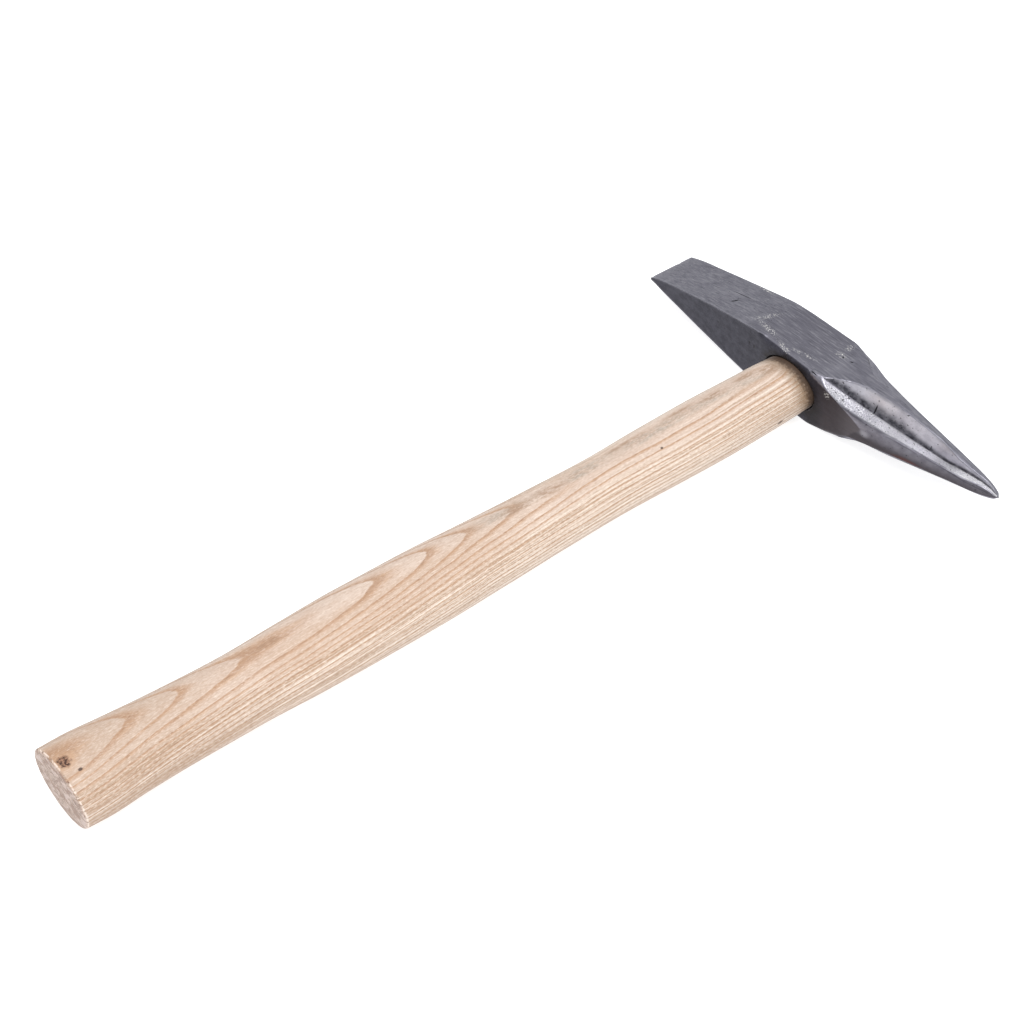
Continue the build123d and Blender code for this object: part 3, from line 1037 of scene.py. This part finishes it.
def late_wood(g, x, y, z, clouds, fibres, on_side):
    """The smooth pale wood between the ring lines, with its slow changes along the handle."""
    flank = g.times(g.fade(z, 5, 7.5), g.fade(x, -1, 3), g.window(y, -262, -225, -165, -130))
    return g.tints(
        g.between(clouds, 0.35, 0.65, (188, 166, 151), (201, 182, 168)),
        (g.fade(y, -309, -230, 0.6, 0), (188, 160, 140)),
        (g.fade(y, -140, -60, 0, 0.45), (200, 181, 168)),
        (on_side, g.fade(y, -280, -180, 0.15, 0.75), (218, 204, 190)),
        (flank, 0.7, (182, 156, 136)),
        (g.fade(y, -285, -235, 0.6, 0), (176, 155, 138)),
        (g.fade(fibres, 0.4, 0.7, 0, 0.4), (183, 154, 131)),
        (g.fade(fibres, 0.5, 0.25, 0, 0.4), (232, 217, 203)))


def grey_streak(g, place, x, y, z, clouds, flecks):
    """Masks of the mineral streak along the upper edge, its weathering and its stains."""
    streak_line = g.add(x, g.times(g.less(clouds, 0.5), 3))
    streak = g.times(g.window(streak_line, -6, -3.4, -1.6, 0.9), g.fade(y, -165, -135),
                     g.fade(z, 4, 8))
    mottle = g.noise(place, (0.7, 0.2, 0.7), 5, 0.75)
    broken = g.noise(place, (0.09, 0.045, 0.09), 2, 0.5)
    streak = g.times(streak, g.fade(broken, 0.36, 0.6, 0.25, 1))
    weathered = g.times(streak, g.fade(flecks, 0.45, 0.58), 0.35)
    stain = g.times(g.spots(place, STAINS, 0.7), g.fade(mottle, 0.42, 0.56, 0.05, 0.65))
    return g.times(streak, g.fade(mottle, 0.4, 0.58, 0.15, 0.75)), weathered, stain


def end_grain(g, place, ragged, torn, band):
    """Colour of the sawn ends: darker and greyer, dotted and cracked."""
    dots = g.fade(g.noise(place, (1.6, 0.2, 1.6), 3, 0.7), 0.4, 0.7)
    cracks = g.times(g.fade(g.absolute(g.less(torn, 0.53)), 0.016, 0.005),
                     g.fade(ragged, 0.42, 0.52))
    return g.tints(
        g.mix(dots, rgb(204, 180, 165), rgb(146, 118, 104)),
        (g.fade(torn, 0.51, 0.6, 0, 0.8), (140, 104, 88)),
        (g.fade(torn, 0.47, 0.38, 0, 0.8), (220, 202, 196)),
        (band, 0.4, (150, 122, 106)),
        (g.most(cracks, g.fade(ragged, 0.64, 0.7, 0, 0.7)), (72, 48, 40)))


def ash_material():
    g = Graph("ash_wood")
    place = g.place_mm()
    x, y, z = g.split(place)[:3]
    out, number, phase = growth_rings(g, place)
    ring_id = g.node("TexWhiteNoise", {"noise_dimensions": "1D"},
                     W=g.math("FLOOR", number)).outputs["Value"]
    clouds = g.noise(place, (0.06, 0.018, 0.06), 3, 0.5)
    ragged = g.noise(place, 1.1, 3, 0.7)

    # Early wood: a crisp line, then pores that thin out into smooth late wood
    shown = g.less(1, g.times(g.fade(x, 2.8, 0.9), g.fade(y, -140, -125), 0.75))
    line = g.times(g.window(phase, 0, 0.07, 0.08, 0.34), shown)
    band_end = g.add(g.times(ring_id, 0.3), 0.4)
    band = g.times(g.window(phase, 0, 0.05, 0.06, band_end), shown)
    in_wood = g.join(x, y, out)
    fibres = g.noise(in_wood, (2, 0.05, 3.4), 4, 0.65)
    streaks = g.noise(in_wood, (0.7, 0.025, 1.2), 3, 0.6)
    pores = g.fade(g.noise(in_wood, (3.6, 0.256, 4.6), 2, 0.6), 0.56, 0.66)
    dark_pores = g.times(pores, g.add(g.times(band, 0.75), 0.2))
    flecks = g.noise(in_wood, (2.6, 0.8, 2.9), 2, 0.6)
    calm = g.fade(z, 6, 9.8, 1, 0.6)

    # Fainter lines between the rings show on the sides, where the rings are cut square
    on_side = g.fade(z, 9.6, 6.5)
    near_neck = g.times(g.fade(y, -110, -40, 0, 0.7), g.fade(x, -2, 3))
    finely_lined = g.most(on_side, near_neck)
    thin = g.noise(in_wood, (0.12, 0.012, 2.6), 2, 0.6)
    weight = g.times(g.add(g.times(ring_id, 0.4), 0.6), g.fade(on_side, 0, 1, 0.7, 1))
    line_share = g.times(line, g.fade(streaks, 0.2, 0.75, 0.35, 0.95), weight)
    colour = g.tints(
        late_wood(g, x, y, z, clouds, fibres, on_side),
        (g.fade(thin, 0.48, 0.66), finely_lined, 0.75, (156, 127, 100)),
        (g.fade(thin, 0.48, 0.3), finely_lined, 0.5, (244, 234, 222)))
    early = g.between(streaks, 0.3, 0.7, (168, 126, 94), (188, 152, 122))
    colour = g.mix(g.times(band, g.fade(streaks, 0.25, 0.7, 0.45, 0.9)), colour, early)
    colour = g.tints(
        colour,
        (line_share, (150, 116, 90)),
        (dark_pores, 0.6, (132, 98, 72)),
        (g.fade(flecks, 0.5, 0.72, 0, 0.42), calm, (142, 112, 90)),
        (g.fade(flecks, 0.5, 0.28, 0, 0.38), calm, (240, 228, 216)))

    # Streak, stains, knot and small dark spots
    streak, weathered, stain = grey_streak(g, place, x, y, z, clouds, flecks)
    wander = g.node("TexNoise", Vector=place, Scale=0.9, Detail=2).outputs[1]
    wobble = g.vector_math("ADD", place, g.stretch(wander, (2, 2, 2)))
    wobble = g.vector_math("SUBTRACT", wobble, (1, 1, 1))
    knot = g.spot(wobble, KNOT, (2.2, 2, 3), 0.3)
    halo = g.spot(wobble, KNOT, (3.6, 3.4, 4), 0.5)
    spots = g.spots(place, SPOTS, 0.3)
    colour = g.tints(
        colour,
        (streak, (170, 160, 149)),
        (weathered, (136, 118, 102)),
        (stain, (146, 114, 88)),
        (halo, 0.5, (186, 150, 120)))
    knot_colour = g.between(ragged, 0.42, 0.56, (62, 40, 32), (146, 110, 88))
    colour = g.mix(knot, colour, knot_colour)
    colour = g.mix(g.times(spots, 0.9), colour, rgb(62, 42, 34))

    # Sawn ends, and their rims: a painted highlight along the rounded edge, with dark worn notches
    facing = g.absolute(g.split(g.node("TexCoord").outputs["Normal"])[1])
    torn = g.noise(place, (0.28, 0.1, 0.42), 3, 0.65, 0.8)
    end_share = g.times(g.fade(facing, 0.72, 0.93), 0.9)
    colour = g.mix(end_share, colour, end_grain(g, place, ragged, torn, band))
    # Rim: the light parts are a painted highlight, the dark parts real wear
    broken_rim = g.fade(g.noise(place, 0.35, 2, 0.6), 0.4, 0.56, 0.15, 0.85)
    rim = g.times(g.window(facing, 0.12, 0.4, 0.6, 0.93), broken_rim)
    rim_colour = g.between(torn, 0.48, 0.58, (234, 218, 206), (104, 76, 62))
    colour = g.mix(rim, colour, rim_colour)

    # Handling dirt beside the head, painted shade darkening the wood towards the joint, and a
    # painted grey sheen where the surface turns away
    near_head = g.fade(g.add(y, g.times(g.less(clouds, 0.5), 14)), -21, -13)
    uneven_y = g.add(y, g.times(g.less(ragged, 0.5), 5))
    outside = g.fade(y, -9, -11)
    # Painted grey sheen where the surface turns away from view
    grazing = g.node("LayerWeight", Blend=0.35).outputs["Facing"]
    colour = g.tints(
        colour,
        (near_head, g.fade(ragged, 0.25, 0.6, 0.35, 0.8), (150, 124, 98)),
        # Painted shade towards the joint with the head, outside the eye
        (g.fade(uneven_y, -23, -15, 0, 0.6), outside, (122, 100, 78)),
        (g.fade(uneven_y, -17.6, -13.8, 0, 0.92), outside, (62, 47, 38)),
        (g.fade(grazing, 0.45, 0.95, 0, 0.45), (168, 158, 152)))

    height = g.less(g.times(fibres, 0.7), g.add(g.times(dark_pores, 1.3), g.times(line, 0.5)))
    height = g.less(height, g.add(g.times(knot, 1.5), spots))
    return g.finish(Base_Color=colour, Roughness=g.fade(fibres, 0.2, 0.8, 0.52, 0.66),
                    Normal=g.bump(height, 0.5, 0.00007), Specular_IOR_Level=0.35)


def wedge_wood_material():
    g = Graph("wedge_wood")
    place = g.place_mm()
    grain = g.noise(place, (0.5, 0.12, 3.4), 4, 0.6)
    pores = g.fade(g.noise(place, (2.6, 0.5, 3.2), 2, 0.6), 0.55, 0.7)
    colour = g.tints(
        g.between(grain, 0.3, 0.7, (206, 172, 134), (172, 134, 98)),
        (pores, 0.5, (120, 88, 62)))
    height = g.less(grain, g.times(pores, 0.8))
    return g.finish(Base_Color=colour, Roughness=g.fade(grain, 0.3, 0.7, 0.6, 0.75),
                    Normal=g.bump(height, 0.5, 0.00008), Specular_IOR_Level=0.3)


# -------------------- assembly
def build_pieces():
    head = build_head()
    plug = eye_cutter()
    cut(head, plug)
    remove(plug)
    paint_head(head)

    handle = bar("handle_ash", handle_sections(), HANDLE_COLUMNS)
    roughen_handle(handle)
    wood = build_wedge("wedge_wood", WOOD_WEDGE, TENON_END_Y, wood_wedge_oval)
    steel = build_wedge("wedge_steel", STEEL_WEDGE, TENON_END_Y)
    slot_end = TENON_END_Y + SLOT_PAST_END
    wood_slot = build_wedge("wood_slot", WOOD_SLOT, slot_end, grow=SLOT_GAP)
    steel_slot = build_wedge("steel_slot", STEEL_WEDGE, slot_end, grow=SLOT_GAP)
    roughen_wedge(wood, 0.05, 21)
    roughen_wedge(steel, 0.06, 31)
    cut(handle, wood_slot)
    cut(handle, steel_slot)
    cut(wood, steel_slot)
    remove(wood_slot, steel_slot)

    plan = [
        (head, "head", "forged_steel", steel_material(), 30),
        (handle, "handle", "ash_wood", ash_material(), 38),
        (wood, "wood_wedge", "wedge_wood", wedge_wood_material(), 35),
        (steel, "steel_wedge", "wedge_steel", wedge_steel_material(), 35),
    ]
    for piece, node, slot, material, angle in plan:
        for shown in (piece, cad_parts[node]):
            shown.data.materials.clear()
            shown.data.materials.append(material)
        shade(piece, angle)
        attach(piece, "root")
        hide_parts(node)


# -------------------- stage, light, camera
# In metres, watts and degrees
FLOOR_HALF_SIZE, FLOOR_Z = 3, -0.0004
SKY_COLOUR, SKY_STRENGTH = (0.96, 0.98, 1, 1), 0.62
LAMP_PLACE, LAMP_AIM = (0.3, -0.25, 1.15), (0, -0.13, 0)
LAMP_SIZE, LAMP_POWER = 0.9, 16
CAMERA_PLACE = (0.37971, -0.44411, 0.48206)
CAMERA_DOWN, CAMERA_TURN = 43.353, 51.289
CAMERA_LENS = 72.07


def build_floor():
    corners = [(x * FLOOR_HALF_SIZE, y * FLOOR_HALF_SIZE, FLOOR_Z)
               for x, y in ((-1, -1), (1, -1), (1, 1), (-1, 1))]
    mesh = bpy.data.meshes.new("floor")
    mesh.from_pydata(corners, [], [(0, 1, 2, 3)])
    floor = bpy.data.objects.new("floor", mesh)
    bpy.context.scene.collection.objects.link(floor)
    g = Graph("floor_white")
    mesh.materials.append(g.finish(Base_Color=(0.5, 0.5, 0.5, 1), Roughness=0.9,
                                   Emission_Color=(1, 1, 1, 1), Emission_Strength=0.78))


def soft_light(name, place, aim, size, power):
    data = bpy.data.lights.new(name, "AREA")
    data.shape = "RECTANGLE"
    data.size, data.size_y = size, size
    data.energy = power
    lamp = bpy.data.objects.new(name, data)
    lamp.location = place
    lamp.rotation_euler = (Vector(aim) - Vector(place)).to_track_quat("-Z", "Y").to_euler()
    bpy.context.scene.collection.objects.link(lamp)


def build_light():
    world = bpy.data.worlds.new("studio")
    bpy.context.scene.world = world
    world.use_nodes = True
    background = world.node_tree.nodes["Background"]
    background.inputs["Color"].default_value = SKY_COLOUR
    background.inputs["Strength"].default_value = SKY_STRENGTH
    soft_light("overhead", LAMP_PLACE, LAMP_AIM, LAMP_SIZE, LAMP_POWER)


def build_camera():
    data = bpy.data.cameras.new("camera")
    data.sensor_width = 36
    data.lens = CAMERA_LENS
    data.clip_start, data.clip_end = 0.05, 20
    camera = bpy.data.objects.new("camera", data)
    camera.location = CAMERA_PLACE
    camera.rotation_euler = (math.radians(90 - CAMERA_DOWN), 0, math.radians(CAMERA_TURN))
    bpy.context.scene.collection.objects.link(camera)
    bpy.context.scene.camera = camera


build_pieces()
build_floor()
build_light()
build_camera()
bpy.context.scene.view_settings.view_transform = "Standard"
